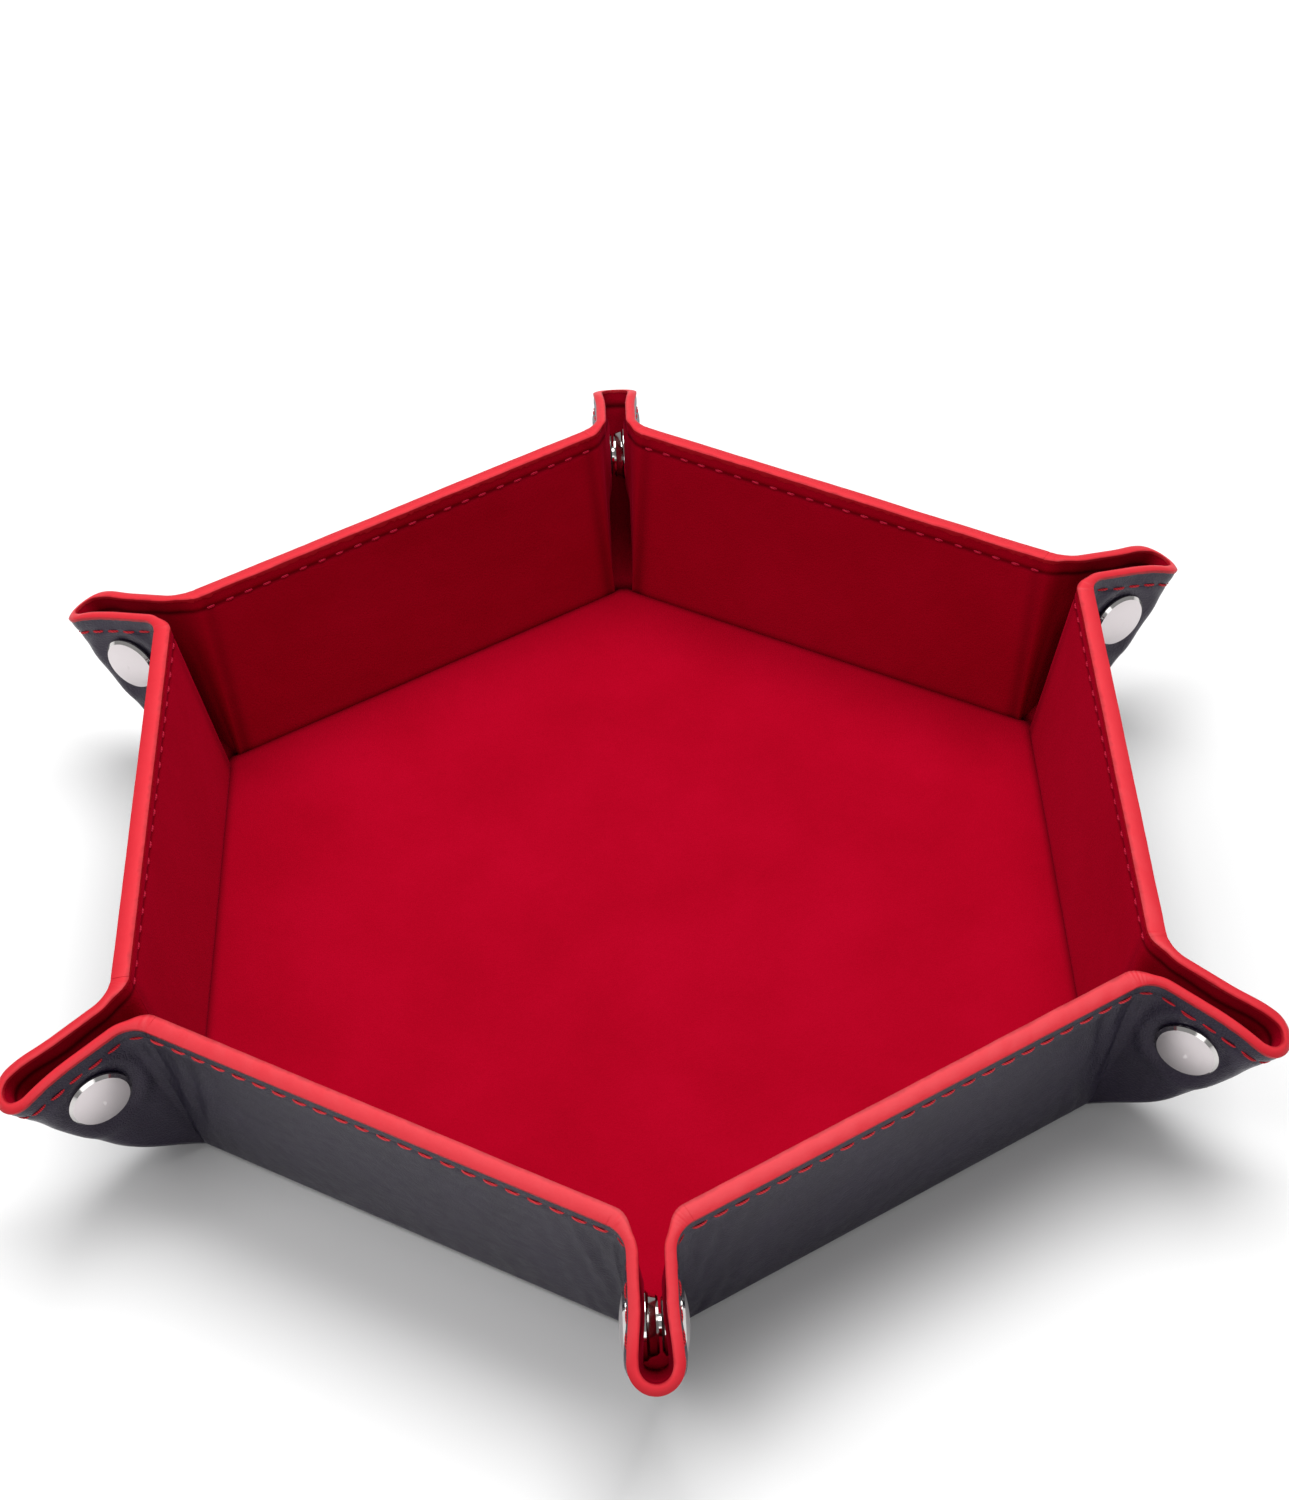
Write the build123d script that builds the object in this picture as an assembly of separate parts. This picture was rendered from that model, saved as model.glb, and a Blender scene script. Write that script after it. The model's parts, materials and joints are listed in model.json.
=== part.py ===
from build123d import *
import math
import os

# Folding dice tray: a stiffened hexagonal mat whose six walls fold up and whose
# six corners are pinched into ears, each held by one snap fastener.
# Units are millimetres. +Z is up. The origin is the centre of the underside of
# the base. Corners lie at -90, -30, 30, 90, 150 and 210 degrees about +Z, and
# wall k runs anticlockwise from corner k to corner k+1.
# The tray is modelled snapped up, ready for use.

# ---- driving dimensions ----
side = 100.0            # side of the fold hexagon, from corner to corner
edge_apothem = 128.0    # centre to the outer edge of the mat, laid flat
corner_round = 24.5     # radius of the mat's outer corners
wall_angle = 79.0       # wall's lean above the table when snapped up, degrees
ear_swing = 18.0        # how far the ear leans out from upright, degrees
leather_t = 0.9
board_t = 1.5
velvet_t = 0.9
ear_half_gap = 3.2      # ear flap's mid-surface to the plane that halves the corner
hinge_z = 0.9           # height of every fold line above the mat's underside
base_setback = 2.8      # base board region stops this far inside the fold line
wall_setback = 2.0      # wall region starts this far outside the fold line
board_inset = 0.5       # board edge inside the leather and velvet that wrap it
wall_end_low = 4.0      # wall end to corner, at the fold line
wall_end_high = 3.7     # wall end to corner, at the rim
flap_end = 3.0          # flap start to corner, measured the same way
ear_inner = 9.0         # flap starts this far from the corner of the fold hexagon
crease_gap = 1.2        # flap stops this far before the ear's crease fold line
lip_start = 0.35        # lip starts this far past that fold line
lip_low = 2.7           # lip's edge past the fold line, at its inner end
lip_high = 1.4          # and at its outer end
snap_along = 28.8       # snap centre from the fold corner, along the corner's halving line
snap_across = 10.4      # snap centre from the corner's halving line
cap_r = 6.15
socket_r = 6.0
socket_bore_r = 2.7
stud_r = 5.25
post_r = 2.15
barrel_r = 1.5
barrel_clearance = 0.05

apothem = side * math.cos(math.pi / 6)
height = edge_apothem - apothem                  # wall height, flat
wall_t = leather_t + board_t + velvet_t
ear_t = leather_t + velvet_t
half = side / 2

os.makedirs("parts", exist_ok=True)


# ---- small vector helpers for the ear's fold axis ----
def cross(u, v):
    return (u[1] * v[2] - u[2] * v[1], u[2] * v[0] - u[0] * v[2], u[0] * v[1] - u[1] * v[0])


def columns_product(A, B):
    """A transposed times B, with A and B as three column vectors each."""
    return [[sum(A[i][k] * B[j][k] for k in range(3)) for j in range(3)] for i in range(3)]


c30, s30 = math.cos(math.pi / 6), 0.5
halving = (c30, s30, 0.0)          # outward along the plane that halves the corner
across = (-s30, c30, 0.0)          # normal of that plane, towards the next wall
th = math.radians(wall_angle)
sw = math.radians(ear_swing)
wall_cols = [(math.cos(th), 0, math.sin(th)), (0, 1, 0), (-math.sin(th), 0, math.cos(th))]
flap_x = tuple(math.sin(sw) * halving[i] + (math.cos(sw) if i == 2 else 0) for i in range(3))
flap_y = tuple(math.cos(sw) * halving[i] - (math.sin(sw) if i == 2 else 0) for i in range(3))
flap_cols = [flap_x, flap_y, across]
R = columns_product(wall_cols, flap_cols)
fold_deg = math.degrees(math.acos((R[0][0] + R[1][1] + R[2][2] - 1) / 2))
fold_axis = (R[2][1] - R[1][2], R[0][2] - R[2][0], R[1][0] - R[0][1])
size = math.sqrt(sum(x * x for x in fold_axis))
fold_axis = tuple(x / size for x in fold_axis)
print("ear fold axis, flat wall frame", [round(x, 6) for x in fold_axis], "angle", round(fold_deg, 5))

# Corner frame of the flat mat: x along wall 0's normal, y along its edge.
corner_x, corner_y = apothem, half
pivot = (corner_x, corner_y - ear_half_gap / c30, hinge_z)
hinge0 = Axis((apothem, 0, hinge_z), (0, -1, 0))
hinge1 = Axis(pivot, fold_axis)
hinge2 = Axis(pivot, halving)


def corner_point(along, side_off):
    """Point of the flat mat, from the fold corner: along the halving line and across it."""
    return (
        corner_x + along * halving[0] + side_off * across[0],
        corner_y + along * halving[1] + side_off * across[1],
    )


def prism(outline, z0, z1):
    """Upright prism on an outline of straight runs and three-point arcs."""
    edges = []
    for e in outline:
        pts = [(x, y, 0) for x, y in e]
        edges.append(Line(*pts) if len(pts) == 2 else ThreePointArc(*pts))
    face = Face(Wire(edges))
    if face.normal_at().Z < 0:
        face = -face
    return extrude(face, amount=z1 - z0, dir=(0, 0, 1)).moved(Location((0, 0, z0)))


def polygon(points, z0, z1):
    n = len(points)
    return prism([(points[i], points[(i + 1) % n]) for i in range(n)], z0, z1)


def fold_wall(s):
    return s.rotate(hinge0, wall_angle)


def fold_flap(s):
    return fold_wall(s.rotate(hinge1, fold_deg))


def fold_lip(s):
    return fold_flap(s.rotate(hinge2, 90.0))


def place(s, k):
    return s.rotate(Axis.Z, -60 + 60 * k)


def flip(s):
    return mirror(s, about=Plane.XZ)


def save(name, solids):
    out = []
    for s in solids:
        out += list(s.solids())
    shape = out[0] if len(out) == 1 else Compound(children=out)
    export_step(shape, f"parts/{name}.step")


# ---- base: leather underside, board, velvet floor ----
def hexagon(ap, z0, z1):
    r = ap / c30
    pts = [(r * math.cos(math.radians(-90 + 60 * i)), r * math.sin(math.radians(-90 + 60 * i))) for i in range(6)]
    return polygon(pts, z0, z1)


base_ap = apothem - base_setback
save("base_leather", [hexagon(base_ap, 0, leather_t)])
save("base_board", [hexagon(base_ap - board_inset, leather_t, leather_t + board_t)])
save("base_velvet", [hexagon(base_ap, leather_t + board_t, wall_t)])


# ---- one wall, flat, with its outward normal along +X ----
def wall_layer(inset, z0, z1):
    x0, x1 = apothem + wall_setback + inset, apothem + height - inset * 0.8
    y0, y1 = half - wall_end_low - inset, half - wall_end_high - inset
    return polygon([(x0, -y0), (x1, -y1), (x1, y1), (x0, y0)], z0, z1)


wall_leather = fold_wall(wall_layer(0, 0, leather_t))
wall_board = fold_wall(wall_layer(board_inset, leather_t, leather_t + board_t))
wall_velvet = fold_wall(wall_layer(0, leather_t + board_t, wall_t))

# ---- rounded outer corner of the flat mat ----
round_centre = (edge_apothem - corner_round) / c30 - side  # along the halving line


def on_round(side_off):
    """Point of the rounded corner at this distance across the halving line."""
    return corner_point(round_centre + math.sqrt(corner_round**2 - side_off**2), side_off)


tangent = (edge_apothem, corner_y + (round_centre * s30))
flap_off = -(ear_half_gap + crease_gap)
snap_xy = corner_point(snap_along, -snap_across)


def flap_layer(z0, z1):
    a = (corner_x + ear_inner, corner_y - flap_end - 0.25)
    b = (edge_apothem, corner_y - flap_end)
    e = on_round(flap_off)
    mid_angle = math.radians(9.0)
    m = (
        corner_x + round_centre * halving[0] + corner_round * math.cos(mid_angle),
        corner_y + round_centre * halving[1] + corner_round * math.sin(mid_angle),
    )
    f = corner_point(ear_inner + 0.5, flap_off)
    s = prism([(a, b), (b, tangent), (tangent, m, e), (e, f), (f, a)], z0, z1)
    hole = Cylinder(barrel_r + barrel_clearance, 4).moved(Location((snap_xy[0], snap_xy[1], (z0 + z1) / 2)))
    return s - hole


def lip_layer(z0, z1):
    q0 = -ear_half_gap + lip_start
    q1, q2 = -ear_half_gap + lip_low, -ear_half_gap + lip_high
    a, b = corner_point(ear_inner + 0.5, q0), on_round(q0)
    m, c = on_round((q0 + q2) / 2), on_round(q2)
    d = corner_point(ear_inner + 0.5, q1)
    return prism([(a, b), (b, m, c), (c, d), (d, a)], z0, z1)


flap = [fold_flap(flap_layer(0, leather_t)), fold_flap(flap_layer(leather_t, ear_t))]
lip = [fold_lip(lip_layer(0, leather_t)), fold_lip(lip_layer(leather_t, ear_t))]


# ---- snap fastener halves, turned about the snap's own axis ----
def turned(points):
    """Solid of revolution about Z from a closed (radius, z) profile; a 3-point entry is an arc."""
    ends = [e[0] for e in points]
    n = len(ends)
    area = sum(ends[i][0] * ends[(i + 1) % n][1] - ends[(i + 1) % n][0] * ends[i][1] for i in range(n))
    if area > 0:
        points = [tuple(reversed(e)) for e in reversed(points)]
    edges = []
    for e in points:
        pts = [(r, 0, z) for r, z in e]
        edges.append(Line(*pts) if len(pts) == 2 else ThreePointArc(*pts))
    return revolve(Face(Wire(edges)), Axis.Z, 360)


def run(*pts):
    return [(pts[i], pts[i + 1]) for i in range(len(pts) - 1)]


def cap(barrel_top, flare_r=0.0, flare_z=0.0):
    """Domed cap on the leather side, with the hollow barrel that rivets it through."""
    inner = barrel_r - 0.45
    outline = run((inner, -0.3), (inner, barrel_top), (barrel_r, barrel_top))
    if flare_r:
        outline = run(
            (inner, -0.3), (inner, barrel_top), (flare_r, barrel_top), (flare_r, flare_z), (barrel_r, flare_z)
        )
    outline += run(outline[-1][-1], (barrel_r, 0.0), (cap_r - 0.25, 0.0), (cap_r, -0.25), (cap_r, -0.65), (cap_r - 0.6, -1.15))
    # the face is part of a sphere centred on the rivet's axis
    rise, reach = 0.75, cap_r - 0.6
    dome_r = (reach**2 + rise**2) / (2 * rise)
    outline += [((reach, -1.15), (3.0, -1.9 + dome_r - math.sqrt(dome_r**2 - 9.0)), (0.0, -1.9))]
    outline += run((0.0, -1.9), (0.0, -0.3), (inner, -0.3))
    return turned(outline)


top = ear_t
socket_base = top + 0.6
socket_top = top + 3.0
socket = turned(
    run(
        (barrel_r + barrel_clearance, top), (socket_r, top), (socket_r, top + 0.9), (socket_r - 0.6, top + 1.4),
        (socket_r - 0.9, socket_top - 0.4), (socket_r - 1.3, socket_top), (socket_bore_r + 0.3, socket_top),
        (socket_bore_r, socket_top - 0.3), (socket_bore_r, top + 2.35), (3.4, top + 2.35), (3.4, top + 1.55),
        (socket_bore_r, top + 1.55), (socket_bore_r, socket_base), (barrel_r + barrel_clearance, socket_base),
        (barrel_r + barrel_clearance, top),
    )
)
spring = revolve(
    Face(Wire([Edge.make_circle(0.28, Plane((3.02, 0, top + 1.95), x_dir=(1, 0, 0), z_dir=(0, 1, 0)))])), Axis.Z, 300
)
socket_cap = cap(socket_base + 0.25, 2.3, socket_base)
stud = turned(
    run(
        (barrel_r + barrel_clearance, top), (stud_r, top), (stud_r, top + 0.6), (stud_r - 0.7, top + 1.1),
        (post_r - 0.15, top + 1.1), (post_r - 0.15, top + 1.8), (post_r, top + 2.2), (post_r, top + 2.7),
        (post_r - 0.35, top + 3.2), (barrel_r + barrel_clearance, top + 3.2), (barrel_r + barrel_clearance, top),
    )
)
stud_cap = cap(top + 2.6)
at_snap = Location((snap_xy[0], snap_xy[1], 0))
socket_half = [fold_flap(s.moved(at_snap)) for s in (socket_cap, socket, spring)]
stud_half = [fold_flap(s.moved(at_snap)) for s in (stud_cap, stud)]

# ---- write every node; each wall carries a socket ear flap at its anticlockwise
# end and a stud ear flap at its clockwise end ----
for k in range(1, 7):
    save(f"wall_leather_{k}", [place(wall_leather, k - 1)])
    save(f"wall_board_{k}", [place(wall_board, k - 1)])
    save(f"wall_velvet_{k}", [place(wall_velvet, k - 1)])
    save(f"ear_flap_socket_{k}", [place(s, k - 1) for s in flap])
    save(f"ear_flap_stud_{k}", [place(flip(s), k - 1) for s in flap])
    save(f"ear_lip_socket_{k}", [place(s, k - 1) for s in lip])
    save(f"ear_lip_stud_{k}", [place(flip(s), k - 1) for s in lip])
    save(f"snap_socket_{k}", [place(s, k - 1) for s in socket_half])
    save(f"snap_stud_{k}", [place(flip(s), k - 1) for s in stud_half])
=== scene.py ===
import json
import math

import bpy
import numpy as np
from mathutils import Matrix, Vector


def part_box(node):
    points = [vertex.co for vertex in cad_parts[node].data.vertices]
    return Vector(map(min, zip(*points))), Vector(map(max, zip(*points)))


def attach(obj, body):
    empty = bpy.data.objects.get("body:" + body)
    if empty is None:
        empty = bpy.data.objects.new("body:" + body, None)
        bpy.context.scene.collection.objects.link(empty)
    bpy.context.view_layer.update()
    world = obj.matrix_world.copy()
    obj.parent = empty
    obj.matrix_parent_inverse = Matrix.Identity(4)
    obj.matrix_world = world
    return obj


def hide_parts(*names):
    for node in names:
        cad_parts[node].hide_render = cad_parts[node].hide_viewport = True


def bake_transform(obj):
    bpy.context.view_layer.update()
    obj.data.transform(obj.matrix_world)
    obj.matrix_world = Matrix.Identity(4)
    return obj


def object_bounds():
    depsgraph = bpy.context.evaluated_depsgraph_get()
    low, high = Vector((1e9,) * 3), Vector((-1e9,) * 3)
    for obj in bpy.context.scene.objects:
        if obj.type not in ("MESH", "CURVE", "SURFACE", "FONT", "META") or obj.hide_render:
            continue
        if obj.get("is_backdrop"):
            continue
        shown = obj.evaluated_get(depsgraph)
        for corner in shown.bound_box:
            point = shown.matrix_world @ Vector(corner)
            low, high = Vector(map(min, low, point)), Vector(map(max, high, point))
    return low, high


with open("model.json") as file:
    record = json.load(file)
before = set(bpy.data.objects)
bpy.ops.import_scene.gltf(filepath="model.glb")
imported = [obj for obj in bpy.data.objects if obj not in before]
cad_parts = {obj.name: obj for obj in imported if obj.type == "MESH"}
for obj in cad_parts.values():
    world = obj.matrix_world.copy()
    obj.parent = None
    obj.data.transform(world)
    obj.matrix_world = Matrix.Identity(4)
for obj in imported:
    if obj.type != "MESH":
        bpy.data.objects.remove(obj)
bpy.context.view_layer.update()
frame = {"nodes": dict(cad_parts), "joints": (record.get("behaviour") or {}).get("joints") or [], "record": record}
MM = 0.001

# ---------------------------------------------------------------- the fold geometry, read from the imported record
joints = {j["name"]: j for j in frame["joints"]}


def rot(axis, deg):
    n = np.array(axis, float)
    n = n / np.linalg.norm(n)
    a = math.radians(deg)
    K = np.array([[0, -n[2], n[1]], [n[2], 0, -n[0]], [-n[1], n[0], 0]])
    return np.eye(3) + math.sin(a) * K + (1 - math.cos(a)) * K @ K


def rz(deg):
    return rot((0, 0, 1), deg)


# Everything is built for wall 1 turned so that its outward normal is +X, then turned to each wall.
unturn = rz(60)
j_wall, j_ear, j_lip = joints["wall_1_fold"], joints["ear_socket_1_fold"], joints["ear_lip_socket_1_fold"]
hinge = unturn @ np.array(j_wall["pos_m"]) / MM
AP, HZ = hinge[0], hinge[2]
WALL_DEG = j_wall["range_deg"][1]
PIV = unturn @ np.array(j_ear["pos_m"]) / MM
EAR_AXIS = unturn @ np.array(j_ear["axis"])
RATIO = {c["joint"]: c["ratio"] for c in frame["record"]["behaviour"]["couplings"]}
EAR_DEG = WALL_DEG * RATIO["ear_socket_1_fold"]
SIDE = AP / math.cos(math.pi / 6)
C30, S30 = math.cos(math.pi / 6), 0.5
B = np.array([C30, S30, 0.0])          # out along the corner's halving plane
ACR = np.array([-S30, C30, 0.0])       # across it, towards the next wall
CORNER = np.array([AP, SIDE / 2, 0.0])
wall_box_lo, wall_box_hi = [np.array(v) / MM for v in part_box("wall_leather_1")]
HEIGHT = (wall_box_hi[2] - HZ + 0.9 * math.cos(math.radians(WALL_DEG))) / math.sin(math.radians(WALL_DEG))
HEIGHT = round(HEIGHT, 1)
EDGE = AP + HEIGHT
ROUND = 24.5                           # mat's outer corner radius
RC = (EDGE - ROUND) / C30 - SIDE       # its centre along the halving line
GAP = 3.2                              # ear flap's middle to the halving plane
W_UP = rot((0, 1, 0), -WALL_DEG)       # flat wall to standing wall
E_UP = rot(EAR_AXIS, -EAR_DEG)
PIV_ALONG = (PIV - CORNER) @ B
WT, ET, LT = 3.3, 1.8, 0.9             # wall, ear and leather thickness


def smooth(t):
    t = np.clip(t, 0, 1)
    return t * t * (3 - 2 * t)


def wall_up(P):
    return (P - hinge) @ W_UP.T + hinge


def ear_up(P, share=1.0):
    """Flat mat to ear; share of the ear's turn, per point or one number."""
    P = wall_up(P) - PIV
    n = np.array(EAR_AXIS, float) / np.linalg.norm(EAR_AXIS)
    a = -np.radians(EAR_DEG) * np.asarray(share, float)
    c, s = np.cos(a)[..., None], np.sin(a)[..., None]
    return P * c + np.cross(np.broadcast_to(n, P.shape), P) * s + n * (P @ n)[..., None] * (1 - c) + PIV


foot_slope = 0.00818


def foot_y(x):
    return PIV[1] + foot_slope * (x - AP)


# The flap's outer edge, flat, from the bend line to 4 mm before the ear's crease.
SHO = 4.0
edge_pts = [np.array([EDGE, y]) for y in np.linspace(foot_y(EDGE), CORNER[1] + RC * S30, 20)]
centre = (CORNER + RC * B)[:2]
for s in np.linspace(0, 30, 200)[1:]:
    p = centre + ROUND * np.array([math.cos(math.radians(s)), math.sin(math.radians(s))])
    acr = (np.array([p[0], p[1], 0]) - CORNER) @ ACR
    if acr > -(GAP + SHO):
        break
    edge_pts.append(p)
edge_pts = np.array(edge_pts)
edge_len = np.r_[0, np.cumsum(np.linalg.norm(np.diff(edge_pts, axis=0), axis=1))]
edge_len /= edge_len[-1]
ACR_END = (np.array([edge_pts[-1][0], edge_pts[-1][1], 0]) - CORNER) @ ACR


def bulge(v):
    v = np.clip(v, 0, 1)
    return 3.4 * (1 - v) / 0.6 * smooth(v / 0.45)


def surf(u, v, z):
    """Point at rest, mm. u: 0 to 1 half wall, 1 to 2 bend to the ear, 2 to 3 flap, 3 to 4 the rounded outer bend. v: 0 at the fold, 1 at the rim. z: height above the mat's underside when flat."""
    u, v, z = np.broadcast_arrays(np.asarray(u, float), np.asarray(v, float), np.asarray(z, float))
    out = np.zeros(u.shape + (3,))
    x = AP + HEIGHT * v
    # wall
    m = u <= 1
    P = np.stack([x, u * foot_y(x), z], -1)
    out[m] = wall_up(P[m])
    # bend
    m = (u > 1) & (u <= 2)
    floor_z = HZ - 0.1736 * HEIGHT * v + 0.08
    P = np.stack([x, foot_y(x), np.maximum(z, floor_z)], -1)
    out[m] = ear_up(P[m], (u[m] - 1))
    # flap
    m = (u > 2) & (u <= 3)
    if m.any():
        t, vv, zz = u[m] - 2, v[m], z[m]
        rim = np.stack([np.interp(t, edge_len, edge_pts[:, 0]), np.interp(t, edge_len, edge_pts[:, 1])], -1)
        q = PIV[:2] + vv[:, None] * (rim - PIV[:2])
        rel = np.c_[q, np.zeros(len(q))] - CORNER
        al, ac = rel @ B, rel @ ACR
        o = ac + GAP
        near = smooth((o + 13 * vv) / np.maximum(9 * vv, 1e-6))
        o = o + bulge(vv) * near
        l = -0.65 * np.minimum(1, 2 * vv) * near
        F = CORNER + al[:, None] * B + (o - GAP)[:, None] * ACR + np.c_[np.zeros((len(q), 2)), zz + l]
        out[m] = ear_up(F)
    # rounded outer bend
    m = u > 3
    if m.any():
        ph, vv, zz = (u[m] - 3) * math.pi / 2, v[m], z[m]
        s = ACR_END * (1 - (u[m] - 3))
        rim_al = RC + np.sqrt(ROUND**2 - s**2)
        al = PIV_ALONG + vv * (rim_al - PIV_ALONG)
        l0 = -0.65 * np.minimum(1, 2 * vv)
        Rx = SHO * vv + 0.02
        o = bulge(vv) - Rx * (1 - np.sin(ph))
        l = l0 + (GAP - l0) * (1 - np.cos(ph))
        do, dl = Rx * np.cos(ph), (GAP - l0) * np.sin(ph)
        do = do + 1e-6
        n = np.hypot(do, dl)
        no, nl = -dl / n, do / n
        off = zz - HZ
        F = CORNER + al[:, None] * B + (o + no * off - GAP)[:, None] * ACR + np.c_[np.zeros((len(al), 2)), HZ + l + nl * off]
        out[m] = ear_up(F)
    return out


# ---------------------------------------------------------------- thickness and surface detail
SNAP_IN = ear_up((CORNER + 28.8 * B - 10.4 * ACR + np.array([0, 0, 1.8]))[None])[0]


def crease_shade(u, v):
    """Painted shade on the velvet, 0 to 1: darker in the floor-to-wall crease, along the stitch line, at the board ends
    and over the ears.
    """
    h, depth = v * HEIGHT, (1 - v) * HEIGHT
    c = 1.0 * (1 - smooth(h / 3.3)) + 0.62 * np.exp(-(((depth - 3.0) / 0.55) ** 2))
    c = c + 0.50 * np.exp(-(((u - 0.978) / 0.030) ** 2)) * (1 - 0.6 * v)
    c = c + 0.30 * smooth((u - 1.0) / 0.6)
    return np.clip(c, 0, 1)


def velvet_top(u, v):
    """Height of the velvet face above the mat's underside, flat."""
    h = v * HEIGHT
    wall = np.where(h < 3.0, 1.2 + 2.1 * np.sqrt(np.clip(1 - (1 - h / 3.0) ** 2, 0, 1)), WT)
    taper = 1 - smooth((u - 1.02) / 0.62)
    top = np.minimum(wall, ET + (WT - ET) * taper)
    u, v, top = np.broadcast_arrays(u, v, top)
    r = np.linalg.norm(surf(u, v, ET) - SNAP_IN, axis=-1)
    ring = 0.80 * smooth((r - 5.5) / 0.6) * (1 - smooth((r - 6.6) / 4.6)) * smooth((u - 1.55) / 0.3) * smooth((1 - v) * HEIGHT / 3)
    depth = (1 - v) * HEIGHT
    seam = 0.22 * np.exp(-(((depth - 3.0) / 0.55) ** 2))
    return top + ring - seam


def wave(x, y, seed):
    r = np.random.RandomState(seed)
    s = np.zeros(np.broadcast(x, y).shape)
    for _ in range(7):
        a, b, c, d = r.uniform(-1, 1, 4)
        s = s + (0.4 + 0.6 * abs(d)) * np.sin(x * a * 0.5 + y * b * 0.5 + c * 9)
    return s / 4


snap_lo, snap_hi = [np.array(v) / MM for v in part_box("snap_socket_1")]
SNAP_AL, SNAP_AC = 28.8, -10.4
SNAP_FLAT = CORNER + SNAP_AL * B + SNAP_AC * ACR
SNAP_REST = ear_up((SNAP_FLAT + np.array([0, 0, 0.0]))[None])[0]
EAR_N = ear_up((SNAP_FLAT + np.array([0, 0, -1.0]))[None])[0] - SNAP_REST   # outward on the leather side


def leather_puff(u, v, seed, sgn=1.0):
    """How far the leather stands out of its plain surface, mm."""
    depth = (1 - v) * HEIGHT
    P = surf(u, v, 0 * np.asarray(u + v) + 0.0)
    d = -0.17 * np.exp(-(((depth - 3.0) / 0.38) ** 2))
    d = d + 0.10 * np.exp(-(((depth - 1.5) / 0.8) ** 2)) + 0.07 * np.exp(-(((depth - 4.6) / 1.0) ** 2))
    h = v * HEIGHT
    fade = smooth(h / 5) * smooth((depth - 3.4) / 3)
    y = u * 46.5 * sgn
    d = d + 0.09 * wave(y * 0.5, h, seed) * fade
    seed = seed + np.where(np.asarray(sgn) < 0, 2.3, 0.0)
    # creases where the board ends: they fan down from the rim to the corner
    zone = np.exp(-(((u - 1.12) / 0.30) ** 2)) * fade
    s = np.where(u <= 1, (u - 1) * 46.5, (u - 1) * 7.6 * np.maximum(v, 0.2))
    d = d + zone * (0.26 * np.sin(s * 1.15 + 0.10 * h + seed) + 0.13 * np.sin(s * 2.5 - 0.17 * h + 2.1 * seed))
    zone2 = np.exp(-(((u - 0.90) / 0.075) ** 2)) * fade
    d = d + zone2 * 0.17 * np.sin(s * 1.3 + 0.30 * h + 1.3 * seed)
    d = d * smooth(h / 3)
    # the press snap pulls the leather in, and it stands up in a ring around the cap
    r = np.linalg.norm(P - SNAP_REST, axis=-1)
    ear = (u > 1.4)
    ring = 0.55 * np.exp(-(((r - 8.9) / 1.7) ** 2)) - 0.10 * np.exp(-((r / 6.9) ** 6))
    d = d + ring * ear * smooth((v - 0.12) / 0.2) * smooth((depth - 1.2) / 2.2)
    return d


# ---------------------------------------------------------------- mesh helpers
def add_mesh(name, verts, faces, mat, smooth_shade=True, attr=None):
    me = bpy.data.meshes.new(name)
    me.from_pydata([tuple(p) for p in np.asarray(verts) * MM], [], faces)
    me.validate()
    me.update()
    for p in me.polygons:
        p.use_smooth = smooth_shade
    ob = bpy.data.objects.new(name, me)
    bpy.context.scene.collection.objects.link(ob)
    me.materials.append(mat)
    me.set_sharp_from_angle(angle=math.radians(55))
    if attr is not None:
        for key, values in attr.items():
            a = me.attributes.new(key, "FLOAT", "POINT")
            a.data.foreach_set("value", np.asarray(values, np.float32))
    return ob


def shell(G, H):
    """Closed shell from two grids (rows, columns, 3): G outside, H inside."""
    r, c = G.shape[:2]
    V = np.concatenate([G.reshape(-1, 3), H.reshape(-1, 3)])
    k = r * c
    F = []
    for i in range(r - 1):
        for j in range(c - 1):
            a, b, d, e = i * c + j, i * c + j + 1, (i + 1) * c + j + 1, (i + 1) * c + j
            F.append((a, b, d, e))
            F.append((k + a, k + e, k + d, k + b))
    for j in range(c - 1):
        F.append((j, k + j, k + j + 1, j + 1))
        a = (r - 1) * c + j
        F.append((a, a + 1, k + a + 1, k + a))
    for i in range(r - 1):
        a, b = i * c, (i + 1) * c
        F.append((a, b, k + b, k + a))
        a, b = i * c + c - 1, (i + 1) * c + c - 1
        F.append((a, k + a, k + b, b))
    return V, F


def flip_faces(F):
    return [tuple(reversed(f)) for f in F]


def join(parts):
    V, F, n = [], [], 0
    for v, f in parts:
        V.append(np.asarray(v))
        F += [tuple(i + n for i in q) for q in f]
        n += len(v)
    return np.concatenate(V), F


def place(V, k, mirrored=False):
    V = np.array(V, float)
    if mirrored:
        V = V * np.array([1, -1, 1])
    return V @ rz(-60 + 60 * (k - 1)).T


# ---------------------------------------------------------------- materials
def material(name):
    m = bpy.data.materials.new(name)
    m.use_nodes = True
    nt = m.node_tree
    nt.nodes.clear()
    out = nt.nodes.new("ShaderNodeOutputMaterial")
    p = nt.nodes.new("ShaderNodeBsdfPrincipled")
    nt.links.new(p.outputs[0], out.inputs[0])
    return m, nt, p


def node(nt, kind, **kw):
    n = nt.nodes.new(kind)
    for k, v in kw.items():
        if k in n.inputs:
            n.inputs[k].default_value = v
        else:
            setattr(n, k, v)
    return n


def coords(nt):
    return nt.nodes.new("ShaderNodeTexCoord").outputs["Object"]


def noise(nt, scale, detail=4.0, rough=0.55, vec=None):
    n = node(nt, "ShaderNodeTexNoise")
    n.inputs["Scale"].default_value = scale
    n.inputs["Detail"].default_value = detail
    n.inputs["Roughness"].default_value = rough
    nt.links.new(vec if vec is not None else coords(nt), n.inputs["Vector"])
    return n.outputs["Fac"]


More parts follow.
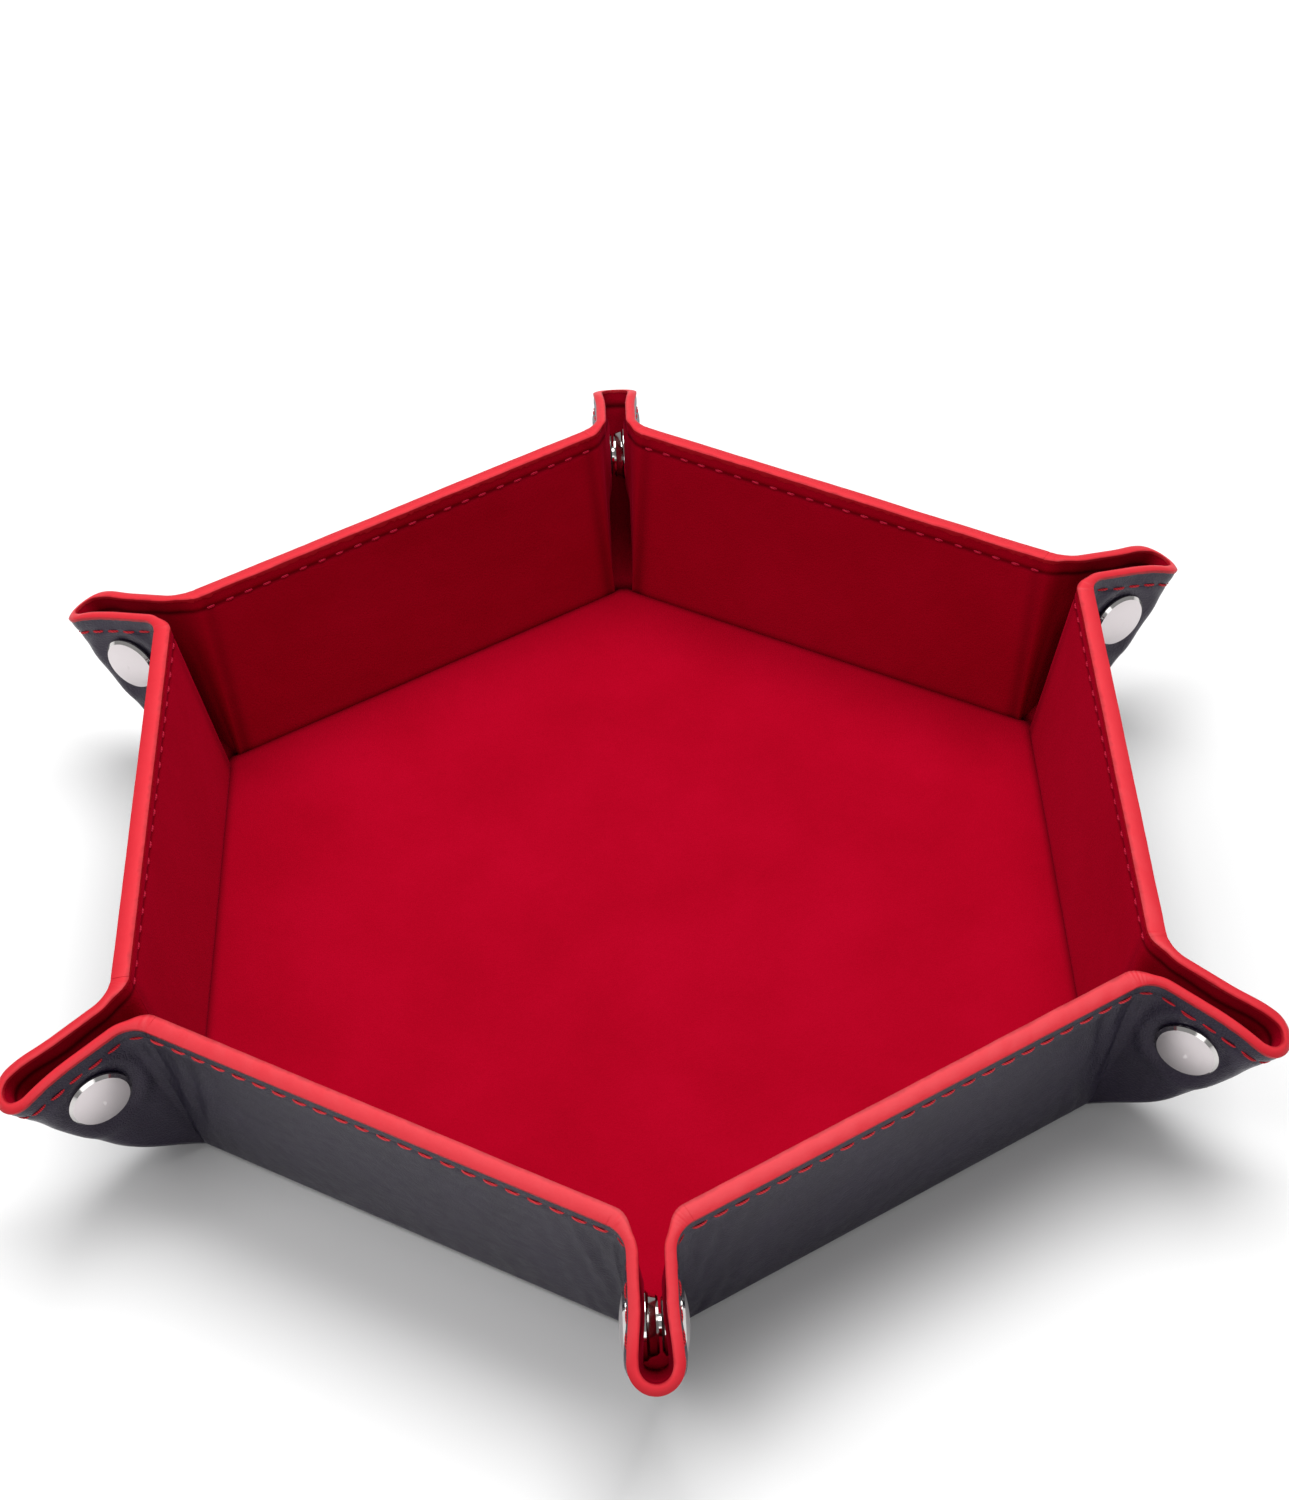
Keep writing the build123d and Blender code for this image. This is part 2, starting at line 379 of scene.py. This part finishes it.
def ramp(nt, fac, stops):
    r = nt.nodes.new("ShaderNodeValToRGB")
    cr = r.color_ramp
    while len(cr.elements) > len(stops):
        cr.elements.remove(cr.elements[-1])
    while len(cr.elements) < len(stops):
        cr.elements.new(0.5)
    for e, (pos, col) in zip(cr.elements, stops):
        e.position = pos
        e.color = (*col, 1) if len(col) == 3 else col
    nt.links.new(fac, r.inputs[0])
    return r.outputs[0]


def bump(nt, height, strength, dist, normal=None):
    b = node(nt, "ShaderNodeBump")
    b.inputs["Strength"].default_value = strength
    b.inputs["Distance"].default_value = dist
    nt.links.new(height, b.inputs["Height"])
    if normal is not None:
        nt.links.new(normal, b.inputs["Normal"])
    return b.outputs["Normal"]


def make_leather():
    m, nt, p = material("black_leather")
    base = ramp(nt, noise(nt, 90, 3), [(0.3, (0.0050, 0.0030, 0.0115)), (0.7, (0.0095, 0.0058, 0.0190))])
    nt.links.new(base, p.inputs["Base Color"])
    ro = ramp(nt, noise(nt, 420, 3), [(0.3, (0.30,) * 3), (0.75, (0.42,) * 3)])
    nt.links.new(ro, p.inputs["Roughness"])
    vor = node(nt, "ShaderNodeTexVoronoi", feature="DISTANCE_TO_EDGE")
    vor.inputs["Scale"].default_value = 1500
    nt.links.new(coords(nt), vor.inputs["Vector"])
    grain = ramp(nt, vor.outputs["Distance"], [(0.0, (0, 0, 0)), (0.22, (1, 1, 1))])
    n1 = bump(nt, grain, 0.45, 0.00010)
    n2 = bump(nt, noise(nt, 230, 6, 0.62), 0.40, 0.0004, n1)
    n3 = bump(nt, noise(nt, 60, 3), 0.30, 0.0010, n2)
    nt.links.new(n3, p.inputs["Normal"])
    p.inputs["Specular IOR Level"].default_value = 0.42
    p.inputs["Sheen Weight"].default_value = 0.02
    p.inputs["Sheen Roughness"].default_value = 0.5
    p.inputs["Sheen Tint"].default_value = (0.62, 0.60, 0.85, 1)
    p.inputs["Specular Tint"].default_value = (0.95, 0.84, 1.0, 1)
    return m


def make_velvet():
    m, nt, p = material("red_velvet")
    mott = noise(nt, 38, 4, 0.6)
    fine = noise(nt, 2600, 2, 0.6)
    mix = node(nt, "ShaderNodeMath", operation="MULTIPLY_ADD")
    nt.links.new(fine, mix.inputs[0])
    mix.inputs[1].default_value = 0.45
    nt.links.new(mott, mix.inputs[2])
    base = ramp(nt, mix.outputs[0], [(0.42, (0.296, 0.0004, 0.0092)), (0.68, (0.330, 0.0005, 0.0112)), (0.95, (0.362, 0.0008, 0.0140))])
    # painted shade: the velvet colour is mixed towards near black where the painted-shade attribute is high
    at = node(nt, "ShaderNodeAttribute", attribute_name="crease_shade", attribute_type="GEOMETRY")
    mx = node(nt, "ShaderNodeMix", data_type="RGBA", blend_type="MIX")
    nt.links.new(at.outputs["Fac"], mx.inputs[0])
    nt.links.new(base, mx.inputs[6])
    mx.inputs[7].default_value = (0.045, 0.0001, 0.0016, 1)
    nt.links.new(mx.outputs[2], p.inputs["Base Color"])
    p.inputs["Roughness"].default_value = 0.95
    p.inputs["Specular IOR Level"].default_value = 0.02
    p.inputs["Sheen Weight"].default_value = 0.22
    p.inputs["Sheen Roughness"].default_value = 0.38
    p.inputs["Sheen Tint"].default_value = (1.0, 0.01, 0.08, 1)
    n1 = bump(nt, fine, 0.5, 0.00022)
    n2 = bump(nt, noise(nt, 130, 3), 0.25, 0.0004, n1)
    nt.links.new(n2, p.inputs["Normal"])
    return m


def make_paint():
    m, nt, p = material("salmon_edge_paint")
    at = node(nt, "ShaderNodeAttribute", attribute_name="bead_shading", attribute_type="GEOMETRY")
    add = node(nt, "ShaderNodeMath", operation="MULTIPLY_ADD")
    nt.links.new(noise(nt, 420, 3), add.inputs[0])
    add.inputs[1].default_value = 0.22
    nt.links.new(at.outputs["Fac"], add.inputs[2])
    # painted highlight and shade across the edge bead: lighter towards its inner side, darker at both laps
    base = ramp(nt, add.outputs[0], [(0.10, (0.30, 0.004, 0.010)), (0.30, (0.52, 0.011, 0.022)), (0.82, (0.64, 0.021, 0.034)), (0.99, (0.36, 0.004, 0.012))])
    nt.links.new(base, p.inputs["Base Color"])
    p.inputs["Roughness"].default_value = 0.46
    p.inputs["Specular IOR Level"].default_value = 0.22
    n1 = bump(nt, noise(nt, 900, 4, 0.6), 0.30, 0.00012)
    n2 = bump(nt, noise(nt, 260, 2), 0.30, 0.0003, n1)
    nt.links.new(n2, p.inputs["Normal"])
    return m


def make_thread(name, lo, hi):
    m, nt, p = material(name)
    w = node(nt, "ShaderNodeTexWave", wave_type="BANDS", bands_direction="DIAGONAL")
    w.inputs["Scale"].default_value = 900
    w.inputs["Distortion"].default_value = 1.2
    nt.links.new(coords(nt), w.inputs["Vector"])
    nt.links.new(ramp(nt, w.outputs["Fac"], [(0.1, lo), (0.8, hi)]), p.inputs["Base Color"])
    p.inputs["Roughness"].default_value = 0.60
    p.inputs["Specular IOR Level"].default_value = 0.15
    p.inputs["Sheen Weight"].default_value = 0.15
    p.inputs["Sheen Tint"].default_value = (1.0, 0.10, 0.14, 1)
    nt.links.new(bump(nt, w.outputs["Fac"], 0.6, 0.00012), p.inputs["Normal"])
    return m


def make_nickel(name, axis):
    """Satin cap face, polished bevel: told apart by how far the surface leans from the snap's axis."""
    m, nt, p = material(name)
    p.inputs["Metallic"].default_value = 1.0
    geo = nt.nodes.new("ShaderNodeNewGeometry")
    dot = node(nt, "ShaderNodeVectorMath", operation="DOT_PRODUCT")
    nt.links.new(geo.outputs["True Normal"], dot.inputs[0])
    dot.inputs[1].default_value = tuple(float(x) for x in axis)
    ab = node(nt, "ShaderNodeMath", operation="ABSOLUTE")
    nt.links.new(dot.outputs["Value"], ab.inputs[0])
    face = ramp(nt, ab.outputs[0], [(0.90, (0, 0, 0)), (0.955, (1, 1, 1))])
    scr = noise(nt, 1300, 4, 0.7)
    mixr = node(nt, "ShaderNodeMix", data_type="FLOAT")
    nt.links.new(face, mixr.inputs[0])
    mixr.inputs[2].default_value = 0.10
    r2 = node(nt, "ShaderNodeMath", operation="MULTIPLY_ADD")
    nt.links.new(scr, r2.inputs[0])
    r2.inputs[1].default_value = 0.16
    r2.inputs[2].default_value = 0.24
    nt.links.new(r2.outputs[0], mixr.inputs[3])
    nt.links.new(mixr.outputs[0], p.inputs["Roughness"])
    col = ramp(nt, face, [(0.0, (0.60, 0.58, 0.57)), (1.0, (0.66, 0.61, 0.62))])
    nt.links.new(col, p.inputs["Base Color"])
    nt.links.new(bump(nt, noise(nt, 700, 4), 0.06, 0.00008), p.inputs["Normal"])
    return m


def make_board():
    m, nt, p = material("grey_board")
    base = ramp(nt, noise(nt, 500, 5, 0.7), [(0.35, (0.20, 0.17, 0.13)), (0.65, (0.34, 0.29, 0.23))])
    nt.links.new(base, p.inputs["Base Color"])
    p.inputs["Roughness"].default_value = 0.9
    nt.links.new(bump(nt, noise(nt, 1500, 4), 0.3, 0.0002), p.inputs["Normal"])
    return m


LEATHER, VELVET, PAINT = make_leather(), make_velvet(), make_paint()
THREAD = make_thread("salmon_thread", (0.50, 0.014, 0.024), (0.88, 0.050, 0.066))
THREAD_IN = make_thread("bright_red_thread", (0.34, 0.003, 0.022), (0.56, 0.008, 0.045))
THREAD_DARK = make_thread("dark_red_thread", (0.28, 0.005, 0.012), (0.62, 0.018, 0.032))
BOARD = make_board()

# ---------------------------------------------------------------- grids
near_rim = [0, 0.3, 0.7, 1.2, 1.8, 2.3, 2.6, 2.8, 3.0, 3.2, 3.4, 3.7, 4.2, 4.8, 5.6]
rest_depth = list(np.arange(6.5, HEIGHT - 4.0, 1.05))
low = [HEIGHT - 3.4, HEIGHT - 2.6, HEIGHT - 2.0, HEIGHT - 1.5]
depths = np.array(near_rim + rest_depth + low)
V_ROWS = (1 - depths / HEIGHT)[::-1]           # from just above the fold to the rim
U_WALL = np.linspace(-1, 1, 97)
U_WALL = np.sign(U_WALL) * (1 - (1 - np.abs(U_WALL)) ** 1.12)
U_BEND = 1 + np.linspace(0, 1, 13)
U_FLAP = 2 + np.linspace(0, 1, 29)
U_LIP = 3 + np.linspace(0, 1, 13)


def surf_y(u, v, z):
    """surf for the whole wall: negative u is the mirror side."""
    P = surf(np.abs(u), v, z)
    P[..., 1] *= np.sign(u)
    return P


def fold_rows(z_is_outer, us):
    """Rows of the leather where it turns from the underside up into the wall."""
    rows = []
    t = math.radians(WALL_DEG)
    R = 2.6
    x0 = AP + LT * math.sin(t) - (HZ - LT * math.cos(t)) / math.tan(t)   # outer faces meet here at z 0
    cx, cz = x0 - R * math.tan(t / 2), R
    rad = R if z_is_outer else R - 0.8
    for a in np.linspace(0, t, 7)[:-1]:
        x, z = cx + rad * math.sin(a), cz - rad * math.cos(a)
        y = us * (foot_y(AP) + 1.4)
        rows.append(np.stack([np.full_like(us, x), y, np.full_like(us, z)], -1))
    return rows


FOLD_X = (AP + LT * math.sin(math.radians(WALL_DEG)) - (HZ - LT * math.cos(math.radians(WALL_DEG))) / math.tan(math.radians(WALL_DEG))) - 2.6 * math.tan(math.radians(WALL_DEG / 2))


def wall_leather(seed):
    u, v = np.meshgrid(U_WALL, V_ROWS)
    out = surf_y(u, v, -leather_puff(np.abs(u), v, seed, np.where(u < 0, -1.0, 1.0)))
    inn = surf_y(u, v, np.full_like(u, 0.75))
    G = np.concatenate([np.stack(fold_rows(True, U_WALL)), out])
    H = np.concatenate([np.stack(fold_rows(False, U_WALL)), inn])
    return shell(G, H)


def pile(u, v, seed):
    return 0.05 * wave(u * 120, v * 90, seed) + 0.06 * wave(u * 19, v * 14, seed + 5)


def wall_velvet(seed):
    vs = np.r_[0.0, 0.5 / HEIGHT, 1.0 / HEIGHT, V_ROWS]
    vs = vs[vs < 1 - 0.15 / HEIGHT]
    vs = np.r_[vs, 1 - 0.15 / HEIGHT]
    u, v = np.meshgrid(U_WALL, vs)
    top = velvet_top(np.abs(u), v) + pile(u, v, seed) * smooth((v * HEIGHT) / 3)
    G = surf_y(u, v, top)
    H = surf_y(u, v, np.maximum(velvet_top(np.abs(u), v) - 0.85, 0.8))
    V, F = shell(G, H)
    # painted shade values for the wall velvet
    c = crease_shade(np.abs(u), v).ravel()
    return V, flip_faces(F), np.r_[c, c]


def ear_grid(us, vs, seed, what, sgn):
    u, v = np.meshgrid(us, vs)
    if what == "leather":
        G = surf(u, v, -leather_puff(u, v, seed, sgn))
        H = surf(u, v, np.full_like(u, 0.8))
        V, F = shell(G, H)
        return V, F
    top = velvet_top(u, v)
    G = surf(u, v, top + 0.5 * pile(u, v, seed) * smooth((v * HEIGHT) / 6))
    H = surf(u, v, np.maximum(top - 0.85, 0.82))
    V, F = shell(G, H)
    return V, flip_faces(F)


EAR_ROWS = np.r_[0.0, 0.4 / HEIGHT, 0.9 / HEIGHT, V_ROWS]


def rim_bead(us, seed, signed=False):
    """Painted cut edge: a domed strip that laps a little over both faces."""
    f = surf_y if signed else surf
    au = np.abs(us)
    r = np.random.RandomState(seed)
    rag = np.interp(np.arange(len(us)), np.linspace(0, len(us) - 1, max(4, len(us) // 2)), r.uniform(-1, 1, max(4, len(us) // 2)))
    top = velvet_top(au, np.ones_like(au))
    one = np.ones_like(us)
    wide = smooth((top - ET) / (WT - ET))
    lapL = 0.35 + 0.06 * rag
    lapV = 0.25 + (0.12 + 0.42 * wide) * (0.6 + 0.6 * rag)
    rows, bead_shading = [], []
    e_out = f(us, one, 0.5 * top) - f(us, one * 0.97, 0.5 * top)
    e_out /= np.linalg.norm(e_out, axis=-1, keepdims=True)
    rows.append(f(us, 1 - lapL / HEIGHT, one * 0.02))
    rows.append(f(us, 1 - lapL / HEIGHT, one * -0.06))
    rows.append(f(us, 1 - 0.12 / HEIGHT, one * -0.13))
    bead_shading += [0.02, 0.05, 0.12]
    n = 9
    for i in range(n):
        t = i / (n - 1)
        dome = 0.10 + (0.42 - 0.10 * wide) * np.sin(math.pi * (0.08 + 0.84 * t)) ** 0.6
        rip = 0.09 * wave(us * 55, one * t * 4, seed + 3) + 0.05 * wave(us * 160, one * t * 9, seed + 4)
        P = f(us, one, -0.10 + t * (top + 0.18)) + e_out * (dome + rip * wide)[:, None]
        rows.append(P)
        bead_shading.append(0.16 + 0.70 * t)
    rows.append(f(us, 1 - 0.12 / HEIGHT, top + 0.12))
    rows.append(f(us, 1 - lapV / HEIGHT, top + 0.07))
    rows.append(f(us, 1 - lapV / HEIGHT, top - 0.10))
    bead_shading += [0.92, 0.98, 1.0]
    G = np.stack(rows)
    r_, c_ = G.shape[:2]
    V = G.reshape(-1, 3)
    F = []
    for i in range(r_):
        i2 = (i + 1) % r_
        for j in range(c_ - 1):
            F.append((i * c_ + j, i2 * c_ + j, i2 * c_ + j + 1, i * c_ + j + 1))
    F.append(tuple(i * c_ for i in range(r_))[::-1])
    F.append(tuple(i * c_ + c_ - 1 for i in range(r_)))
    # per-row position across the bead, which the paint material turns into painted highlight and shade
    att = np.repeat(np.array(bead_shading), c_)
    return V, F, att


# ---------------------------------------------------------------- stitches
def stitch_path():
    """Finely sampled u along the rim at the stitch line, with the length along it, from the wall's middle to the ear's tip."""
    us = np.r_[np.linspace(0, 1, 300), 1 + np.linspace(0.01, 1, 80), 2 + np.linspace(0.005, 1, 160), 3 + np.linspace(0.01, 1, 60)]
    P = surf(us, np.full_like(us, 1 - 3.0 / HEIGHT), np.zeros_like(us))
    L = np.r_[0, np.cumsum(np.linalg.norm(np.diff(P, axis=0), axis=1))]
    return us, L


ST_U, ST_L = stitch_path()


def capsule(p, t, n, length, width, height):
    b = np.cross(n, t)
    V, F = [], []
    rings, seg = 7, 8
    for i in range(rings):
        s = i / (rings - 1) * 2 - 1
        w = math.sqrt(max(0.0, 1 - abs(s) ** 3.2)) * 0.97 + 0.03
        sink = -0.9 * height * abs(s) ** 3
        for k in range(seg):
            a = 2 * math.pi * k / seg
            V.append(p + t * (s * length / 2) + b * (math.cos(a) * width / 2 * w) + n * (math.sin(a) * height / 2 * w + sink))
    for i in range(rings - 1):
        for k in range(seg):
            a, c = i * seg + k, i * seg + (k + 1) % seg
            F.append((a, c, c + seg, a + seg))
    F.append(tuple(range(seg))[::-1])
    F.append(tuple((rings - 1) * seg + k for k in range(seg)))
    return np.array(V), F


def stitches(lo, hi, side, seed, dots=False, sgn=1.0):
    """Stitches whose middle lies between u = lo and hi, on the leather (side -1) or velvet (side +1)."""
    r = np.random.RandomState(seed + (7 if sgn < 0 else 0))
    pitch = 4.3
    parts = []
    start = pitch / 2
    for s in np.arange(start, ST_L[-1] - 0.6, pitch):
        s0 = s + r.uniform(-0.12, 0.12)
        u0 = np.interp(s0, ST_L, ST_U)
        if not (lo <= u0 < hi):
            continue
        uu = np.interp([s0 - 0.5, s0, s0 + 0.5], ST_L, ST_U)
        vv = np.full(3, 1 - (3.0 + r.uniform(-0.08, 0.08)) / HEIGHT)
        if side < 0:
            zz = -leather_puff(uu, vv, seed, sgn)
        else:
            zz = velvet_top(uu, vv)
        P = surf(uu, vv, zz)
        Q = surf(uu[1:2], vv[1:2], zz[1:2] + side * 1.0)[0]
        t = P[2] - P[0]
        t /= np.linalg.norm(t)
        n = Q - P[1]
        n -= t * (n @ t)
        n /= np.linalg.norm(n)
        if dots:
            parts.append(capsule(P[1] + n * 0.10, t, n, 2.3, 0.60, 0.44))
        else:
            ear = u0 > 1.25
            parts.append(capsule(P[1] + n * (0.12 if ear else 0.24), t, n, 3.45 if not ear else 3.7, 0.55 if ear else 0.80, 0.46))
    return parts


def mirror_parts(parts):
    return [(v * np.array([1, -1, 1]), flip_faces(f)) for v, f in parts]


# ---------------------------------------------------------------- base: underside, velvet floor
def hex_point(ap, ang, corner_r):
    """Distance from the centre to a hexagon with rounded corners, flats facing 0, 60, ... degrees."""
    a = (ang + 30) % 60 - 30
    r_flat = ap / math.cos(math.radians(a))
    cr = ap / C30 - corner_r / C30
    d = 30 - abs(a)
    s = cr * math.sin(math.radians(d))
    if s < corner_r:
        r_arc = cr * math.cos(math.radians(d)) + math.sqrt(corner_r**2 - s**2)
        return min(r_flat, r_arc)
    return r_flat


def hex_disc(ap, corner_r, profile, nang=360):
    """Rings from the edge inwards: profile is a list of (inset, z)."""
    angs = np.linspace(0, 360, nang, endpoint=False) + 0.5
    rings = []
    for inset, z in profile:
        rr = np.array([hex_point(ap - inset, a, max(corner_r - inset * 0.5, 0.4)) for a in angs])
        rings.append(np.stack([rr * np.cos(np.radians(angs)), rr * np.sin(np.radians(angs)), np.full(nang, z)], -1))
    return np.stack(rings)


def disc_mesh(rings):
    r, c = rings.shape[:2]
    V = rings.reshape(-1, 3)
    F = []
    for i in range(r - 1):
        for j in range(c):
            j2 = (j + 1) % c
            F.append((i * c + j, i * c + j2, (i + 1) * c + j2, (i + 1) * c + j))
    return V, F


def closed_disc(rings):
    """Rings that run from the top middle out over the edge to the bottom middle, closed by two centre points."""
    V, F = disc_mesh(rings)
    r, c = rings.shape[:2]
    n = len(V)
    V = np.concatenate([V, rings[0].mean(0)[None], rings[-1].mean(0)[None]])
    for j in range(c):
        j2 = (j + 1) % c
        F.append((n, j2, j))
        F.append((n + 1, (r - 1) * c + j, (r - 1) * c + j2))
    return V, F


steps = list(np.r_[78, 72, 64, 56, 48, 40, 32, 24, 18, 13, 9, 6.5, 4.8, 3.7])
pro = [(s, WT) for s in steps]
pro += [(0.2 + 2.9 * (1 - math.sin(a)), WT - 2.1 * (1 - math.cos(a))) for a in np.linspace(0, math.pi / 2, 9)]
pro += [(0.25, 1.0), (1.5, 0.95)] + [(s, 2.45 if s > 5 else 1.6) for s in steps[::-1]]
rings = hex_disc(AP, 3.0, pro)
rings[..., 2] += 0.05 * wave(rings[..., 0] * 0.6, rings[..., 1] * 0.6, 71) * (rings[..., 2] > 3.1)
V, F = closed_disc(rings)
# painted shade along the floor velvet's edge, where it meets the walls
C = np.repeat([1.0 * (1 - smooth((s - 0.3) / 3.4)) for s, z in pro], rings.shape[1])
floor_velvet = add_mesh("velvet_floor", V, F, VELVET, attr={"crease_shade": np.r_[C, 0, 0]})
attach(floor_velvet, "base")
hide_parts("base_velvet")

b_ap = FOLD_X + 0.25
pro = [(s, 0.78) for s in steps] + [(0.6, 0.80), (0.15, 0.62), (0.0, 0.38), (0.1, 0.12), (0.35, 0.03), (0.8, 0.0)] + [(s, 0.0) for s in steps[::-1]]
V, F = closed_disc(hex_disc(b_ap, 2.2, pro))
under = add_mesh("leather_underside", V, F, LEATHER)
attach(under, "base")
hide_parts("base_leather")

# ---------------------------------------------------------------- walls, ears and rims
ARC_A = surf(1.0, 1.0, HZ)
ARC_N = surf(2.0, 1.0, HZ)


def finish_piece(ob, kind):
    if kind == "wall":
        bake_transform(ob)
    elif kind == "ear":
        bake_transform(ob)
    else:
        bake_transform(ob)


U_EAR = np.r_[U_BEND, U_FLAP[1:]]
for k in range(1, 7):
    pieces = {}
    V, F = wall_leather(k)
    pieces["leather"] = add_mesh(f"wall_leather_skin_{k}", place(V, k), F, LEATHER)
    V, F, C = wall_velvet(10 + k)
    pieces["velvet"] = add_mesh(f"wall_velvet_skin_{k}", place(V, k), F, VELVET, attr={"crease_shade": C})
    us = np.linspace(-1, 1, 281)
    V, F, att = rim_bead(us, 30 + k, signed=True)
    pieces["paint"] = add_mesh(f"wall_rim_paint_{k}", place(V, k), F, PAINT, attr={"bead_shading": att})
    V, F = join(stitches(0.0, 1.0, -1, k) + mirror_parts(stitches(0.0, 1.0, -1, k, sgn=-1.0)))
    pieces["thread"] = add_mesh(f"wall_stitching_{k}", place(V, k), F, THREAD)
    P = stitches(0.0, 1.0, +1, k, dots=True)
    V, F = join(P + mirror_parts(P))
    pieces["dots"] = add_mesh(f"wall_inner_stitching_{k}", place(V, k), F, THREAD_IN)
    for ob in pieces.values():
        finish_piece(ob, "wall")
    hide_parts(f"wall_leather_{k}")
    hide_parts(f"wall_velvet_{k}")
    for side_name, mir in (("socket", False), ("stud", True)):
        for kind, us in (("ear", U_EAR), ("lip", U_LIP)):
            for what, mat, s in (("leather", LEATHER, "outer_leather"), ("velvet", VELVET, "velvet_lining")):
                V, F = ear_grid(us, EAR_ROWS, k, what, -1.0 if mir else 1.0)
                if mir:
                    F = flip_faces(F)
                C = None
                if what == "velvet":
                    # painted shade values for the ear velvet
                    uu, vv = np.meshgrid(us, EAR_ROWS)
                    C = {"crease_shade": np.tile(crease_shade(uu, vv).ravel(), 2)}
                ob = add_mesh(f"{kind}_{what}_{side_name}_{k}", place(V, k, mir), F, mat, attr=C)
                finish_piece(ob, kind)
            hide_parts(f"ear_flap_{side_name}_{k}" if kind == "ear" else f"ear_lip_{side_name}_{k}")
            u2 = np.linspace(us[0], us[-1], 110 if kind == "ear" else 30)
            V, F, att = rim_bead(u2, 50 + k)
            if mir:
                F = flip_faces(F)
            ob = add_mesh(f"{kind}_rim_paint_{side_name}_{k}", place(V, k, mir), F, PAINT, attr={"bead_shading": att})
            finish_piece(ob, kind)
            lo, hi = (1.0, 3.0) if kind == "ear" else (3.0, 4.1)
            P = stitches(lo, hi, -1, k, sgn=-1.0 if mir else 1.0)
            if P:
                V, F = join(mirror_parts(P) if mir else P)
                ob = add_mesh(f"{kind}_stitching_{side_name}_{k}", place(V, k), F, THREAD_DARK)
                finish_piece(ob, kind)

# ---------------------------------------------------------------- CAD nodes that stay: better materials
for k in range(1, 7):
    frame["nodes"][f"wall_board_{k}"].data.materials.clear()
    frame["nodes"][f"wall_board_{k}"].data.materials.append(BOARD)
    for side_name, mir in (("socket", False), ("stud", True)):
        ax = place(EAR_N[None], k, mir)[0]
        mat = make_nickel(f"nickel_{side_name}_{k}", ax)
        nd = frame["nodes"][f"snap_{side_name}_{k}"]
        nd.data.materials.clear()
        nd.data.materials.append(mat)
frame["nodes"]["base_board"].data.materials.clear()
frame["nodes"]["base_board"].data.materials.append(BOARD)

# ---------------------------------------------------------------- stage, light, camera
m, nt, p = material("pale_floor")
nt.links.new(ramp(nt, noise(nt, 3, 2), [(0.3, (0.80, 0.80, 0.80)), (0.7, (0.83, 0.83, 0.83))]), p.inputs["Base Color"])
p.inputs["Roughness"].default_value = 0.85
me = bpy.data.meshes.new("floor")
me.from_pydata([(-4, -4, -0.0003), (4, -4, -0.0003), (4, 4, -0.0003), (-4, 4, -0.0003)], [], [(0, 1, 2, 3)])
me.materials.append(m)
floor = bpy.data.objects.new("floor", me)
bpy.context.scene.collection.objects.link(floor)
floor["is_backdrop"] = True

w = bpy.data.worlds.new("studio")
bpy.context.scene.world = w
w.use_nodes = True
bg = w.node_tree.nodes["Background"]
bg.inputs[0].default_value = (1.0, 1.0, 1.0, 1)
bg.inputs[1].default_value = 0.36


def area(name, loc, target, size, power, color=(1, 1, 1)):
    li = bpy.data.lights.new(name, "AREA")
    li.shape = "RECTANGLE"
    li.size, li.size_y = size
    li.energy = power
    li.color = color
    ob = bpy.data.objects.new(name, li)
    bpy.context.scene.collection.objects.link(ob)
    ob.location = loc
    ob.rotation_euler = (Vector(target) - Vector(loc)).to_track_quat("-Z", "Y").to_euler()
    return ob


area("top", (0.10, 0.38, 1.05), (0, 0, 0.02), (0.9, 0.7), 13)
area("key", (-0.55, -0.15, 0.85), (0, 0, 0.02), (0.6, 0.6), 3.2)
area("front", (0.15, -1.1, 0.50), (0, 0, 0.03), (0.9, 0.35), 1.6)

sc = bpy.context.scene
sc.view_settings.view_transform = "Standard"
az, el, roll = math.radians(-0.25), math.radians(44.42), math.radians(-2.36)
target = Vector((0.003, 0.0465, 0.0025))
back = Vector((math.sin(az) * math.cos(el), -math.cos(az) * math.cos(el), math.sin(el)))
right = Vector((math.cos(az), math.sin(az), 0))
up = back.cross(right)
r2 = math.cos(roll) * right + math.sin(roll) * up
u2 = -math.sin(roll) * right + math.cos(roll) * up
cam = bpy.data.cameras.new("camera")
cam.sensor_width = 36
cam.lens = 3012 / 1500 * 36
cam.clip_start = 0.01
co = bpy.data.objects.new("camera", cam)
sc.collection.objects.link(co)
co.matrix_world = Matrix.Translation(target + back * 0.6389) @ Matrix((
    (r2.x, u2.x, back.x, 0), (r2.y, u2.y, back.y, 0), (r2.z, u2.z, back.z, 0), (0, 0, 0, 1)))
sc.camera = co

lo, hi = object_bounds()
